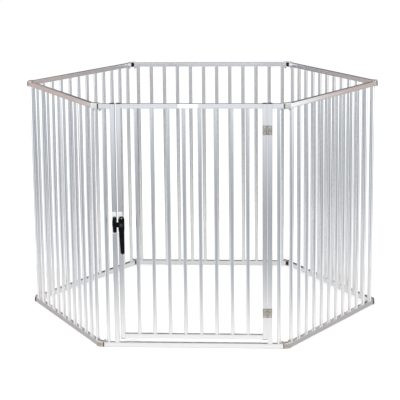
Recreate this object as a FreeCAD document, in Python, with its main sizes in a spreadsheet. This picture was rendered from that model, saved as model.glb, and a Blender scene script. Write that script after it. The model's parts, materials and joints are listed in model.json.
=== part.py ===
"""Pet gate: a free-standing pen of six barred panels, one of which holds a swinging door.

The panels stand on the sides of a regular hexagon. Neighbouring panels meet in a pair of U-shaped
link brackets, each with two pivot bolts, so the ring folds flat. The front panel has a door on two
butt hinges, held shut by a turning handle whose nose sits behind the hook of a keeper.

Frames used below, all in millimetres with +Z up from the floor:
  panel frame   X along the panel, seen from outside left to right, -Y outward, origin mid-panel
  corner frame  X from one pivot bolt to the other, -Y outward, origin midway between the bolts
"""
import FreeCAD, Part
import math
import os
import re
import Sketcher

VECTOR = FreeCAD.Vector
UP = VECTOR(0, 0, 1)
NEAR = 0.01      # two lengths (mm) or directions (radians) closer than this are the same

# ---------------------------------------------------------------- driving dimensions (mm)
DIMENSIONS = {
    # the ring of panels
    "panel_pitch": 800,         # corner to corner of one panel, on its middle plane
    "overall_height": 1060,
    "ring_offset": 11.16,       # puts the box of the whole pen on the origin, handle included
    # square tube of the rails, posts and stiles
    "rail_side": 20,
    "rail_wall": 1.5,
    "rail_corner": 1.5,
    # round bars
    "bar_diameter": 16,
    "bar_wall": 1,
    "bar_pitch": 66.5,
    "bar_count": 12,
    # corner link brackets and their pivot bolts
    "link_spacing": 33,
    "link_plate": 2.5,
    "link_gap": 0.3,
    "link_web": 2,
    "web_standoff": 14.3,
    "web_width": 32,
    "link_end": 13,
    "bolt_diameter": 6,
    "bolt_bore": 6.15,
    "bolt_head": 11,
    "bolt_sink_clearance": 0.3,
    "bolt_tail": 2.5,
    "nut_width": 10,
    "nut_height": 5,
    # plastic plugs in the rail ends and caps on the upright tubes
    "rail_overhang": 4.2,
    "plug_flange": 5.3,
    "plug_side": 16.4,
    "plug_depth": 14,
    "cap_height": 2,
    "cap_depth": 12,
    # door opening
    "post_place": 328,
    "door_latch_edge": 312,
    "door_hinge_edge": 316.5,
    "door_foot": 42,
    "door_bar_count": 8,
    # butt hinges
    "hinge_axis": 317.25,
    "hinge_standoff": 3.05,
    "hinge_low": 159,
    "hinge_high": 947,
    "hinge_height": 40,
    "leaf_width": 20,
    "leaf_sheet": 1.5,
    "knuckle_diameter": 5.5,
    "knuckle_gap": 0.3,
    "knuckle_reach": 0.4,
    "pin_diameter": 3,
    "pin_bore": 3.1,
    "pin_head": 0.8,
    # small screws
    "screw_diameter": 2.5,
    "screw_head": 5,
    "screw_length": 6,
    "screw_bore": 2.6,
    "sink_clearance": 0.2,
    "screw_row": 24,
    "leaf_screw_inset": 9,
    # latch: keeper on the latch post, turning handle on the latch stile
    "latch_height": 545,
    "mount_plate_width": 20,
    "mount_plate_height": 95,
    "mount_plate_sheet": 2,
    "mount_plate_middle": 550.5,
    "mount_plate_corner": 5,
    "keeper_place": 327,
    "keeper_width": 16.5,
    "keeper_foot": 508,
    "keeper_height": 71,
    "keeper_sheet": 3,
    "keeper_ramp": 4.8,
    "keeper_corner": 5,
    "hook_foot": 557.5,
    "hook_top": 566,
    "hook_reach": 15.2,
    "lip_foot": 539,
    "lip_sheet": 3.7,
    "pivot_place": 298,
    "handle_base_width": 27,
    "handle_base_height": 70,
    "handle_base_sheet": 8,
    "handle_base_corner": 7,
    "handle_screw_height": 572,
    "handle_screw_spacing": 11,
    "spindle_diameter": 8,
    "spindle_bore": 8.1,
    "lever_gap": 0.3,
    "lever_boss": 26,
    "lever_boss_depth": 13.9,
    "nose_length": 36.6,
    "nose_root": 23,
    "nose_tip": 14,
    "nose_sheet": 5.4,
    "grip_length": 128,
    "grip_root": 22,
    "grip_tip": 16,
    "grip_sheet": 10,
    "cap_screw_head": 14,
    "cap_screw_crown": 11,
    "cap_screw_height": 1.7,
}

# names of the panels and corners, with their turn about +Z from the front
PANELS = {"front": 0, "right_front": 60, "right_back": 120, "back": 180, "left_back": 240, "left_front": 300}
CORNERS = {"front_right": 30, "right": 90, "back_right": 150, "back_left": 210, "left": 270, "front_left": 330}

# ---------------------------------------------------------------- places worked out from them
APOTHEM = "panel_pitch*sqrt(3)/2"
LINK_RADIUS = "(panel_pitch - link_spacing/(2*sqrt(3)))"
BOLT_PLACE = "(panel_pitch/2 - link_spacing/sqrt(3))"
RAIL_END = f"({BOLT_PLACE} + rail_overhang)"
LOW_RAIL = "(link_plate + link_gap + rail_side/2)"
HIGH_RAIL = "(overall_height - link_plate - link_gap - rail_side/2)"
BAR_FOOT = f"({LOW_RAIL} + rail_side/2)"
BAR_TOP = f"({HIGH_RAIL} - rail_side/2)"
TUBE_TOP = f"({HIGH_RAIL} + rail_side/2)"
BAR_ROW = "(bar_pitch*(bar_count - 1))"
DOOR_MIDDLE = "((door_hinge_edge - door_latch_edge)/2)"
LATCH_STILE = "(rail_side/2 - door_latch_edge)"
HINGE_STILE = "(door_hinge_edge - rail_side/2)"
FRONT_FACE = "rail_side/2"
PLATE_FACE = f"({FRONT_FACE} + mount_plate_sheet)"
KEEPER_FACE = f"({PLATE_FACE} + keeper_sheet)"
BASE_FACE = f"({PLATE_FACE} + handle_base_sheet)"
LEVER_BACK = f"({BASE_FACE} + lever_gap)"
LEVER_FACE = f"({LEVER_BACK} + lever_boss_depth)"

doc = FreeCAD.newDocument("PetGate")
nodes = []


def make_sheet():
    """Write the driving dimensions into a spreadsheet, one named cell each."""
    sheet = doc.addObject("Spreadsheet::Sheet", "Sizes")
    for row, (name, value) in enumerate(DIMENSIONS.items(), start=1):
        sheet.set(f"A{row}", name)
        sheet.set(f"B{row}", str(value))
        sheet.setAlias(f"B{row}", name)
    doc.recompute()
    return sheet


def bound(formula):
    """Point each dimension's name in a formula at its cell in the sheet."""
    def point(word):
        name = word.group(0)
        return f"Sizes.{name}" if name in DIMENSIONS else name
    return re.sub(r"[a-z_]+", point, formula)


def bind(thing, **formulas):
    """Tie properties of an object to formulas of the driving dimensions."""
    for name, formula in formulas.items():
        thing.setExpression(name, bound(formula))


def bind_place(thing, x="0", y="0", z="0"):
    """Tie an object's place to formulas."""
    for axis, formula in (("x", x), ("y", y), ("z", z)):
        thing.setExpression(f"Placement.Base.{axis}", bound(formula))


def stand(thing, radius, turn):
    """Put an object into the frame that lies at a radius from the ring's middle, turned about +Z."""
    thing.Placement = FreeCAD.Placement(VECTOR(), FreeCAD.Rotation(UP, turn))
    bind_place(thing, f"{radius}*sin({turn})", f"ring_offset - {radius}*cos({turn})")


def keep(thing, label, radius=APOTHEM, turn=0):
    """Name a finished sub-part and stand it in its panel's or corner's frame."""
    thing.Label = label
    stand(thing, radius, turn)
    nodes.append(thing)
    return thing


# ---------------------------------------------------------------- Part Design helpers
def new_sketch(body, plane, offset="0"):
    """Add a sketch on one of a body's own planes, moved along the plane's normal."""
    sketch = body.newObject("Sketcher::SketchObject", "Outline")
    support = next(part for part in body.Origin.OriginFeatures if part.Role == plane)
    sketch.AttachmentSupport = [(support, "")]
    sketch.MapMode = "FlatFace"
    sketch.setExpression("AttachmentOffset.Base.z", bound(offset))
    return sketch


def hold_point(sketch, geometry, end, x, y):
    """Tie a point of the sketch to distances from the sketch's origin."""
    for kind, formula in (("DistanceX", x), ("DistanceY", y)):
        index = sketch.addConstraint(Sketcher.Constraint(kind, -1, 1, geometry, end, 1.0))
        sketch.setExpression(f"Constraints[{index}]", bound(formula))


def add_circle(sketch, x, y, diameter):
    """Draw a circle about a point."""
    geometry = sketch.addGeometry(Part.Circle(VECTOR(1, 1, 0), UP, 1))
    hold_point(sketch, geometry, 3, x, y)
    index = sketch.addConstraint(Sketcher.Constraint("Diameter", geometry, 1.0))
    sketch.setExpression(f"Constraints[{index}]", bound(diameter))


def add_outline(sketch, points):
    """Draw a closed outline of straight edges through points given as pairs of formulas."""
    count = len(points)
    ring = [FreeCAD.Rotation(UP, 360 * index / count).multVec(VECTOR(1, 0, 0)) for index in range(count)]
    first = sketch.GeometryCount
    for index in range(count):
        sketch.addGeometry(Part.LineSegment(ring[index], ring[(index + 1) % count]))
    for index in range(count):
        follower = first + (index + 1) % count
        sketch.addConstraint(Sketcher.Constraint("Coincident", first + index, 2, follower, 1))
    for index, (x, y) in enumerate(points):
        hold_point(sketch, first + index, 1, x, y)


def add_rectangle(sketch, middle_x, middle_y, width, height):
    """Draw a rectangle about a middle point."""
    left, right = f"{middle_x} - {width}/2", f"{middle_x} + {width}/2"
    low, high = f"{middle_y} - {height}/2", f"{middle_y} + {height}/2"
    add_outline(sketch, [(left, low), (right, low), (right, high), (left, high)])


def pad(body, sketch, length):
    """Raise a sketch along its plane's normal."""
    feature = body.newObject("PartDesign::Pad", "Pad")
    feature.Profile = sketch
    bind(feature, Length=length)
    doc.recompute()
    return feature


def pocket(body, sketch, depth):
    """Sink a sketch against its plane's normal, and make sure that it cuts."""
    before = body.Shape.Volume
    feature = body.newObject("PartDesign::Pocket", "Pocket")
    feature.Profile = sketch
    bind(feature, Length=depth)
    doc.recompute()
    if body.Shape.Volume >= before:
        raise RuntimeError(f"the pocket in {body.Label} cuts nothing")
    return feature


def round_edges(body, axis, radius, wanted=lambda middle: True):
    """Round the straight edges that run along an axis and whose middle is wanted."""
    feature = body.Tip
    names = []
    for index, edge in enumerate(feature.Shape.Edges, start=1):
        if edge.Curve.TypeId != "Part::GeomLine":
            continue
        along = edge.Curve.Direction.getAngle(axis)
        if min(abs(along), abs(along - math.pi)) < NEAR and wanted(edge.CenterOfMass):
            names.append(f"Edge{index}")
    fillet = body.newObject("PartDesign::Fillet", "Rounding")
    fillet.Base = (feature, names)
    bind(fillet, Radius=radius)
    doc.recompute()
    return fillet


# ---------------------------------------------------------------- Part helpers
def box(x, y, z, length, width, height):
    """Make a block from its lowest corner."""
    block = doc.addObject("Part::Box", "Block")
    bind(block, Length=length, Width=width, Height=height)
    bind_place(block, x, y, z)
    return block


def turned(kind, x, y, z, towards, **formulas):
    """Make a cylinder or cone whose axis points up (Z), outward (-Y) or along X."""
    turns = {"up": (VECTOR(1, 0, 0), 0), "outward": (VECTOR(1, 0, 0), 90), "along": (VECTOR(0, 1, 0), 90)}
    shape = doc.addObject(kind, "Turned")
    axis, angle = turns[towards]
    shape.Placement = FreeCAD.Placement(VECTOR(), FreeCAD.Rotation(axis, angle))
    bind(shape, **formulas)
    bind_place(shape, x, y, z)
    return shape


def cylinder(x, y, z, diameter, height, towards="up"):
    """Make a cylinder from the middle of its first end."""
    return turned("Part::Cylinder", x, y, z, towards, Radius=f"{diameter}/2", Height=height)


def cone(x, y, z, first, last, height, towards="up"):
    """Make a cone from the middle of its first end."""
    return turned("Part::Cone", x, y, z, towards, Radius1=f"{first}/2", Radius2=f"{last}/2", Height=height)


def fuse(parts):
    """Join shapes into one solid."""
    joined = doc.addObject("Part::MultiFuse", "Joined")
    joined.Shapes = parts
    joined.Refine = True
    return joined


def cut(base, tools):
    """Take shapes away from a solid."""
    tool = doc.addObject("Part::Compound", "Tools")
    tool.Links = tools
    result = doc.addObject("Part::Cut", "Cut")
    result.Base = base
    result.Tool = tool
    return result


def group(parts):
    """Hold separate solids together as one sub-part."""
    held = doc.addObject("Part::Compound", "Group")
    held.Links = parts
    return held


def mirrored(part, normal, height="0"):
    """Mirror a shape in the plane through x = 0, or in the level plane at a height."""
    image = doc.addObject("Part::Mirroring", "Image")
    image.Source = part
    image.Normal = normal
    image.setExpression("Base.z", bound(height))
    return image


def shifted(part, x="0", y="0", z="0"):
    """Repeat a shape at another place."""
    copy = group([part])
    bind_place(copy, x, y, z)
    return copy


# ---------------------------------------------------------------- tubes and bars
def rail(label, turn, start, length, level, bolts):
    """Make a level square tube, drilled upright for its pivot bolts."""
    body = doc.addObject("PartDesign::Body", "Rail")
    section = new_sketch(body, "YZ_Plane", start)
    add_rectangle(section, "0", level, "rail_side", "rail_side")
    add_rectangle(section, "0", level, "(rail_side - 2*rail_wall)", "(rail_side - 2*rail_wall)")
    pad(body, section, length)
    half = DIMENSIONS["rail_side"] / 2
    round_edges(body, VECTOR(1, 0, 0), "rail_corner", lambda middle: abs(abs(middle.y) - half) < NEAR)
    if bolts:
        holes = new_sketch(body, "XY_Plane", f"{level} + rail_side")
        for place in bolts:
            add_circle(holes, place, "0", "bolt_bore")
        pocket(body, holes, "2*rail_side")
    return keep(body, label, turn=turn)


def upright(label, place, foot, top, screws, through=None):
    """Make an upright square tube, drilled in front for its screws."""
    body = doc.addObject("PartDesign::Body", "Upright")
    section = new_sketch(body, "XY_Plane", foot)
    add_rectangle(section, place, "0", "rail_side", "rail_side")
    add_rectangle(section, place, "0", "(rail_side - 2*rail_wall)", "(rail_side - 2*rail_wall)")
    pad(body, section, f"{top} - {foot}")
    half = DIMENSIONS["rail_side"] / 2
    round_edges(body, UP, "rail_corner", lambda middle: abs(abs(middle.y) - half) < NEAR)
    holes = new_sketch(body, "XZ_Plane", FRONT_FACE)
    for x, z in screws:
        add_circle(holes, x, z, "screw_bore")
    pocket(body, holes, "2*rail_wall")
    return keep(body, label)


def bar_row(label, turn, first, spacing, count, foot, length):
    """Make a row of round tubes that stand between two rails."""
    body = doc.addObject("PartDesign::Body", "Bars")
    section = new_sketch(body, "XY_Plane", foot)
    add_circle(section, first, "0", "bar_diameter")
    add_circle(section, first, "0", "(bar_diameter - 2*bar_wall)")
    bar = pad(body, section, length)
    row = body.newObject("PartDesign::LinearPattern", "Row")
    row.Originals = [bar]
    row.Direction = (section, ["H_Axis"])
    bind(row, Length=f"{spacing}*({count} - 1)", Occurrences=count)
    body.Tip = row
    return keep(body, label, turn=turn)


def rail_plugs():
    """Make the four plastic plugs of a panel's rail ends, each drilled for its pivot bolt."""
    flange = box(RAIL_END, "-rail_side/2", f"{HIGH_RAIL} - rail_side/2", "plug_flange", "rail_side", "rail_side")
    tongue = box(f"{RAIL_END} - plug_depth", "-plug_side/2", f"{HIGH_RAIL} - plug_side/2",
                 "plug_depth", "plug_side", "plug_side")
    bore = cylinder(BOLT_PLACE, "0", f"{HIGH_RAIL} - rail_side", "bolt_bore", "2*rail_side")
    top_right = cut(fuse([flange, tongue]), [bore])
    top_left = mirrored(top_right, VECTOR(1, 0, 0))
    low = [mirrored(plug, UP, "overall_height/2") for plug in (top_right, top_left)]
    return [top_right, top_left] + low


def side_panels():
    """Make the five plain panels: two rails, a row of bars and four end plugs each."""
    plugs = rail_plugs()
    bolts = [f"-{BOLT_PLACE}", BOLT_PLACE]
    for name, turn in PANELS.items():
        rail(f"{name}_bottom_rail", turn, f"-{RAIL_END}", f"2*{RAIL_END}", LOW_RAIL, bolts)
        keep(group(plugs), f"{name}_end_plugs", turn=turn)
        if name == "front":
            continue
        rail(f"{name}_top_rail", turn, f"-{RAIL_END}", f"2*{RAIL_END}", HIGH_RAIL, bolts)
        bar_row(f"{name}_bars", turn, f"-{BAR_ROW}/2", "bar_pitch", "bar_count", BAR_FOOT,
                f"{BAR_TOP} - {BAR_FOOT}")


def tube_cap(place, end, away):
    """Make a plastic cap for an upright tube's end; away is 1 for the top and -1 for the foot."""
    shell_foot = end if away > 0 else f"{end} - cap_height"
    tongue_foot = f"{end} - cap_depth" if away > 0 else end
    flange = box(f"{place} - rail_side/2", "-rail_side/2", shell_foot, "rail_side", "rail_side", "cap_height")
    tongue = box(f"{place} - plug_side/2", "-plug_side/2", tongue_foot, "plug_side", "plug_side", "cap_depth")
    return fuse([flange, tongue])


# ---------------------------------------------------------------- front panel and door
def hinge_screw_places(side):
    """Return the four screw places of one upright's two hinge leaves; side is 1 for the post."""
    x = f"hinge_axis {'+' if side > 0 else '-'} (leaf_width - leaf_screw_inset)"
    places = []
    for level in ("hinge_low", "hinge_high"):
        places.append((x, f"{level} - screw_row/2"))
        places.append((x, f"{level} + screw_row/2"))
    return places


def keeper_screw_places():
    """Return the places of the keeper's two screws."""
    return [("-keeper_place", "keeper_foot + keeper_width/2"),
            ("-keeper_place", "keeper_foot + keeper_height - keeper_width/4")]


def handle_screw_places():
    """Return the places of the handle base's two screws."""
    return [(f"{LATCH_STILE} - handle_screw_spacing/2", "handle_screw_height"),
            (f"{LATCH_STILE} + handle_screw_spacing/2", "handle_screw_height")]


def front_frame():
    """Make the posts beside the door, their stub rails, outer bars and caps."""
    stub = f"{RAIL_END} - post_place - rail_side/2"
    rail("front_left_stub_rail", 0, f"-{RAIL_END}", stub, HIGH_RAIL, [f"-{BOLT_PLACE}"])
    rail("front_right_stub_rail", 0, "post_place + rail_side/2", stub, HIGH_RAIL, [BOLT_PLACE])
    upright("latch_post", "-post_place", BAR_FOOT, TUBE_TOP, keeper_screw_places())
    upright("hinge_post", "post_place", BAR_FOOT, TUBE_TOP, hinge_screw_places(1))
    bar_row("front_fixed_bars", 0, f"-{BAR_ROW}/2", BAR_ROW, "2", BAR_FOOT, f"{BAR_TOP} - {BAR_FOOT}")
    keep(group([tube_cap(place, TUBE_TOP, 1) for place in ("-post_place", "post_place")]), "post_caps")


def door_frame():
    """Make the door: two stiles, two rails, eight bars and four tube caps."""
    upright("door_latch_stile", LATCH_STILE, "door_foot", TUBE_TOP, handle_screw_places())
    upright("door_hinge_stile", HINGE_STILE, "door_foot", TUBE_TOP, hinge_screw_places(-1))
    start = f"{LATCH_STILE} + rail_side/2"
    length = f"{HINGE_STILE} - {LATCH_STILE} - rail_side"
    rail("door_top_rail", 0, start, length, HIGH_RAIL, [])
    rail("door_bottom_rail", 0, start, length, "(door_foot + rail_side/2)", [])
    first = f"{DOOR_MIDDLE} - bar_pitch*(door_bar_count - 1)/2"
    foot = "(door_foot + rail_side)"
    bar_row("door_bars", 0, first, "bar_pitch", "door_bar_count", foot, f"{BAR_TOP} - {foot}")
    ends = [(TUBE_TOP, 1), ("door_foot", -1)]
    caps = [tube_cap(stile, end, away) for stile in (LATCH_STILE, HINGE_STILE) for end, away in ends]
    keep(group(caps), "door_caps")


# ---------------------------------------------------------------- hinges
KNUCKLE = "(hinge_height/5)"


def leaf(side, knuckles):
    """Make one hinge leaf about z = 0; side is 1 for the post's leaf, and knuckles are its rows."""
    back = "-rail_side/2 - leaf_sheet"
    gap = "(knuckle_diameter/2 + knuckle_reach)"
    plate_start = f"hinge_axis + {gap}" if side > 0 else "hinge_axis - leaf_width"
    plate = box(plate_start, back, "-hinge_height/2", f"leaf_width - {gap}", "leaf_sheet", "hinge_height")
    parts = [plate]
    for row in knuckles:
        foot = f"-hinge_height/2 + {KNUCKLE}*{row} + knuckle_gap/2"
        tab_start = "hinge_axis" if side > 0 else f"hinge_axis - {gap}"
        parts.append(box(tab_start, back, foot, gap, "leaf_sheet", f"{KNUCKLE} - knuckle_gap"))
        parts.append(cylinder("hinge_axis", "-rail_side/2 - hinge_standoff", foot, "knuckle_diameter",
                              f"{KNUCKLE} - knuckle_gap"))
    tools = [cylinder("hinge_axis", "-rail_side/2 - hinge_standoff", "-hinge_height", "pin_bore",
                      "2*hinge_height")]
    x = f"hinge_axis {'+' if side > 0 else '-'} (leaf_width - leaf_screw_inset)"
    for z in ("-screw_row/2", "screw_row/2"):
        tools.append(cone(x, "-rail_side/2", z, "screw_bore", "(screw_head + sink_clearance)", "leaf_sheet", "outward"))
    return cut(fuse(parts), tools)


def hinges():
    """Make the two butt hinges, with their pins and the screws' heads sunk in the leaves."""
    levels = ("hinge_low", "hinge_high")
    frame_leaf = leaf(1, (0, 2, 4))
    door_leaf = leaf(-1, (1, 3))
    keep(group([shifted(frame_leaf, z=level) for level in levels]), "hinge_frame_leaves")
    keep(group([shifted(door_leaf, z=level) for level in levels]), "hinge_door_leaves")
    axis_y = "-rail_side/2 - hinge_standoff"
    shank = cylinder("hinge_axis", axis_y, "-hinge_height/2", "pin_diameter", "hinge_height")
    heads = [cylinder("hinge_axis", axis_y, "hinge_height/2", "knuckle_diameter", "pin_head"),
             cylinder("hinge_axis", axis_y, "-hinge_height/2 - pin_head", "knuckle_diameter", "pin_head")]
    pin = fuse([shank] + heads)
    keep(group([shifted(pin, z=level) for level in levels]), "hinge_pins")
    face = "leaf_sheet"
    keep(group([screw(x, z, face) for x, z in hinge_screw_places(1)]), "hinge_frame_screws")
    keep(group([screw(x, z, face) for x, z in hinge_screw_places(-1)]), "hinge_door_screws")


def screw(x, z, lift):
    """Make a countersunk screw whose head is flush with a face lifted off the tube's front."""
    start = f"-rail_side/2 - {lift} + screw_length"
    shank = cylinder(x, start, z, "screw_diameter", "screw_length", "outward")
    sink = "(screw_head - screw_diameter)/2"
    head = cone(x, f"-rail_side/2 - {lift} + {sink}", z, "screw_diameter", "screw_head", sink, "outward")
    return fuse([shank, head])


# ---------------------------------------------------------------- latch
def rounded_plate(place, middle, width, height, corner, back, sheet, screws=()):
    """Make a plate with round corners, standing off the tube's front, with countersunk holes."""
    body = doc.addObject("PartDesign::Body", "Plate")
    outline = new_sketch(body, "XZ_Plane", back)
    add_rectangle(outline, place, middle, width, height)
    pad(body, outline, sheet)
    round_edges(body, VECTOR(0, 1, 0), corner)
    if not screws:
        return body
    holes = new_sketch(body, "XZ_Plane", f"{back} + {sheet}")
    for x, z in screws:
        add_circle(holes, x, z, "screw_bore")
    pocket(body, holes, sheet)
    return body


def sink_heads(plate, screws, face):
    """Countersink a plate for its screws."""
    depth = "(screw_head - screw_diameter)/2"
    tools = [cone(x, f"-{face} + {depth}", z, "screw_bore", "(screw_head + sink_clearance)", depth, "outward")
             for x, z in screws]
    return cut(plate, tools)


def keeper_side():
    """Make the keeper with its hook, its mounting plate and its screws."""
    screws = keeper_screw_places()
    plate = rounded_plate("-post_place", "mount_plate_middle", "mount_plate_width", "mount_plate_height",
                          "mount_plate_corner", FRONT_FACE, "mount_plate_sheet", screws)
    keep(plate, "keeper_mount_plate")
    base = rounded_plate("-keeper_place", "(keeper_foot + keeper_height/2)", "keeper_width", "keeper_height",
                         "keeper_corner", PLATE_FACE, "keeper_sheet", screws)
    left = "-keeper_place - keeper_width/2"
    ramp = box(left, f"-{KEEPER_FACE} - keeper_ramp", "lip_foot", "keeper_width", "keeper_ramp",
               "hook_foot - lip_foot")
    wall = box(left, f"-{KEEPER_FACE} - hook_reach", "hook_foot", "keeper_width", "hook_reach",
               "hook_top - hook_foot")
    lip = box(left, f"-{KEEPER_FACE} - hook_reach", "lip_foot", "keeper_width", "lip_sheet",
              "hook_top - lip_foot")
    keep(sink_heads(fuse([base, ramp, wall, lip]), screws, KEEPER_FACE), "keeper")
    keep(group([screw(x, z, "(mount_plate_sheet + keeper_sheet)") for x, z in screws]), "keeper_screws")


def lever():
    """Make the turning handle: round boss, nose towards the post and tapered hanging grip."""
    body = doc.addObject("PartDesign::Body", "Lever")
    boss = new_sketch(body, "XZ_Plane", LEVER_BACK)
    add_circle(boss, "-pivot_place", "latch_height", "lever_boss")
    pad(body, boss, "lever_boss_depth")
    nose = new_sketch(body, "XZ_Plane", LEVER_BACK)
    tip = "-pivot_place - nose_length"
    add_outline(nose, [("-pivot_place", "latch_height - nose_root/2"),
                       ("-pivot_place", "latch_height + nose_root/2"),
                       ("-pivot_place - lever_boss/2", "latch_height + nose_root/2"),
                       (tip, "latch_height + nose_tip/2"),
                       (tip, "latch_height - nose_tip/2"),
                       ("-pivot_place - lever_boss/2", "latch_height - nose_root/2")])
    pad(body, nose, "nose_sheet")
    grip = new_sketch(body, "XZ_Plane", f"{LEVER_FACE} - grip_sheet")
    right = "-pivot_place + grip_root/2"
    foot = "latch_height - grip_length"
    add_outline(grip, [(right, "latch_height"),
                       ("-pivot_place - grip_root/2", "latch_height"),
                       (f"{right} - grip_tip", f"{foot} + grip_tip/3"),
                       (f"{right} - 3*grip_tip/4", foot),
                       (f"{right} - grip_tip/4", foot),
                       (right, f"{foot} + grip_tip/3")])
    pad(body, grip, "grip_sheet")
    bore = new_sketch(body, "XZ_Plane", LEVER_FACE)
    add_circle(bore, "-pivot_place", "latch_height", "spindle_bore")
    pocket(body, bore, "lever_boss_depth")
    return body


def handle_side():
    """Make the turning handle with its base, spindle, mounting plate and screws."""
    screws = handle_screw_places()
    plate = rounded_plate(LATCH_STILE, "mount_plate_middle", "mount_plate_width", "mount_plate_height",
                          "mount_plate_corner", FRONT_FACE, "mount_plate_sheet", screws)
    keep(plate, "handle_mount_plate")
    base = rounded_plate("-pivot_place", "latch_height", "handle_base_width", "handle_base_height",
                         "handle_base_corner", PLATE_FACE, "handle_base_sheet", screws)
    keep(sink_heads(base, screws, BASE_FACE), "handle_base")
    keep(group([screw(x, z, "(mount_plate_sheet + handle_base_sheet)") for x, z in screws]), "handle_screws")
    keep(lever(), "latch_lever")
    spindle_end = f"({LEVER_FACE} + lever_gap)"
    spindle = cylinder("-pivot_place", f"-{BASE_FACE}", "latch_height", "spindle_diameter",
                       f"{spindle_end} - {BASE_FACE}", "outward")
    keep(group([spindle]), "handle_spindle")
    head = cone("-pivot_place", f"-{spindle_end}", "latch_height", "cap_screw_head", "cap_screw_crown",
                "cap_screw_height", "outward")
    keep(group([head]), "handle_cap_screw")


# ---------------------------------------------------------------- corner links
def link_bracket():
    """Make the lower U-shaped bracket of a corner: two flanges above and below the rails' ends
    and a web on the outside, drilled for two pivot bolts with their heads sunk in the floor side."""
    height = "(2*link_plate + 2*link_gap + rail_side)"
    outer = "-web_standoff - link_web"
    parts = [box("-web_width/2", outer, "0", "web_width", "link_web", height)]
    for foot in ("0", f"{height} - link_plate"):
        parts.append(box("-web_width/2", outer, foot, "web_width", "web_standoff + link_web", "link_plate"))
        parts.append(box("-link_spacing/2", "0", foot, "link_spacing", "link_end/2", "link_plate"))
        for x in ("-link_spacing/2", "link_spacing/2"):
            parts.append(cylinder(x, "0", foot, "link_end", "link_plate"))
    tools = []
    for x in ("-link_spacing/2", "link_spacing/2"):
        tools.append(cylinder(x, "0", "-1", "bolt_bore", f"{height} + 2"))
        tools.append(cone(x, "0", "0", "(bolt_head + bolt_sink_clearance)", "bolt_bore", "link_plate"))
    return cut(fuse(parts), tools)


def link_bolt():
    """Make the lower right pivot bolt of a corner, head down, and its nut."""
    height = "(2*link_plate + 2*link_gap + rail_side)"
    sink = "(bolt_head - bolt_diameter)/2"
    head = cone("link_spacing/2", "0", "0", "bolt_head", "bolt_diameter", sink)
    shank = cylinder("link_spacing/2", "0", "0", "bolt_diameter", f"{height} + nut_height + bolt_tail")
    nut = doc.addObject("Part::Prism", "Nut")
    nut.Polygon = 6
    bind(nut, Circumradius="nut_width/sqrt(3)", Height="nut_height")
    bind_place(nut, "link_spacing/2", "0", height)
    bore = cylinder("link_spacing/2", "0", height, "bolt_bore", "nut_height")
    return [fuse([head, shank]), cut(nut, [bore])]


def corner_links():
    """Make the brackets and bolts of the six corners, one pair of brackets to each."""
    low_bracket = link_bracket()
    brackets = [low_bracket, mirrored(low_bracket, UP, "overall_height/2")]
    low_right = link_bolt()
    low = low_right + [mirrored(piece, VECTOR(1, 0, 0)) for piece in low_right]
    bolts = low + [mirrored(piece, UP, "overall_height/2") for piece in low]
    for name, turn in CORNERS.items():
        keep(group(brackets), f"{name}_link_brackets", LINK_RADIUS, turn)
        keep(group(bolts), f"{name}_link_bolts", LINK_RADIUS, turn)


# ---------------------------------------------------------------- build, check and write
def check_document():
    """Stop if any object failed or any sub-part has no valid shape."""
    for thing in doc.Objects:
        if "Invalid" in thing.State or "Error" in thing.State:
            raise RuntimeError(f"{thing.Label} failed: {thing.State}")
    for node in nodes:
        if node.Shape.isNull() or not node.Shape.isValid() or not node.Shape.Solids:
            raise RuntimeError(f"{node.Label} has no valid solid")


def main():
    """Build the pen and write one file for each sub-part."""
    make_sheet()
    side_panels()
    front_frame()
    door_frame()
    hinges()
    keeper_side()
    handle_side()
    corner_links()
    doc.recompute()
    check_document()
    os.makedirs("parts", exist_ok=True)
    for node in nodes:
        node.Shape.exportStep(f"parts/{node.Label}.step")
    whole = Part.makeCompound([node.Shape for node in nodes])
    print(f"{len(nodes)} sub-parts, {len(whole.Solids)} solids, box {whole.BoundBox}")


main()
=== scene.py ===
"""Looks of the pet pen with a swinging gate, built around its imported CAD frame.

Grooved square aluminium tubes, round bars, bent link brackets at the corners, two butt hinges and a
turning black latch. Every length is in metres, and places come from the frame's nodes and joints.

Frames used below:
  panel frame   X along the panel, -Y outward, Z up, origin on the floor below the panel's middle
  corner frame  X from one pivot bolt to the other, -Y outward, origin midway between the bolts
"""
import json
import math

import bmesh
import bpy
from mathutils import Matrix, Vector


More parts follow.
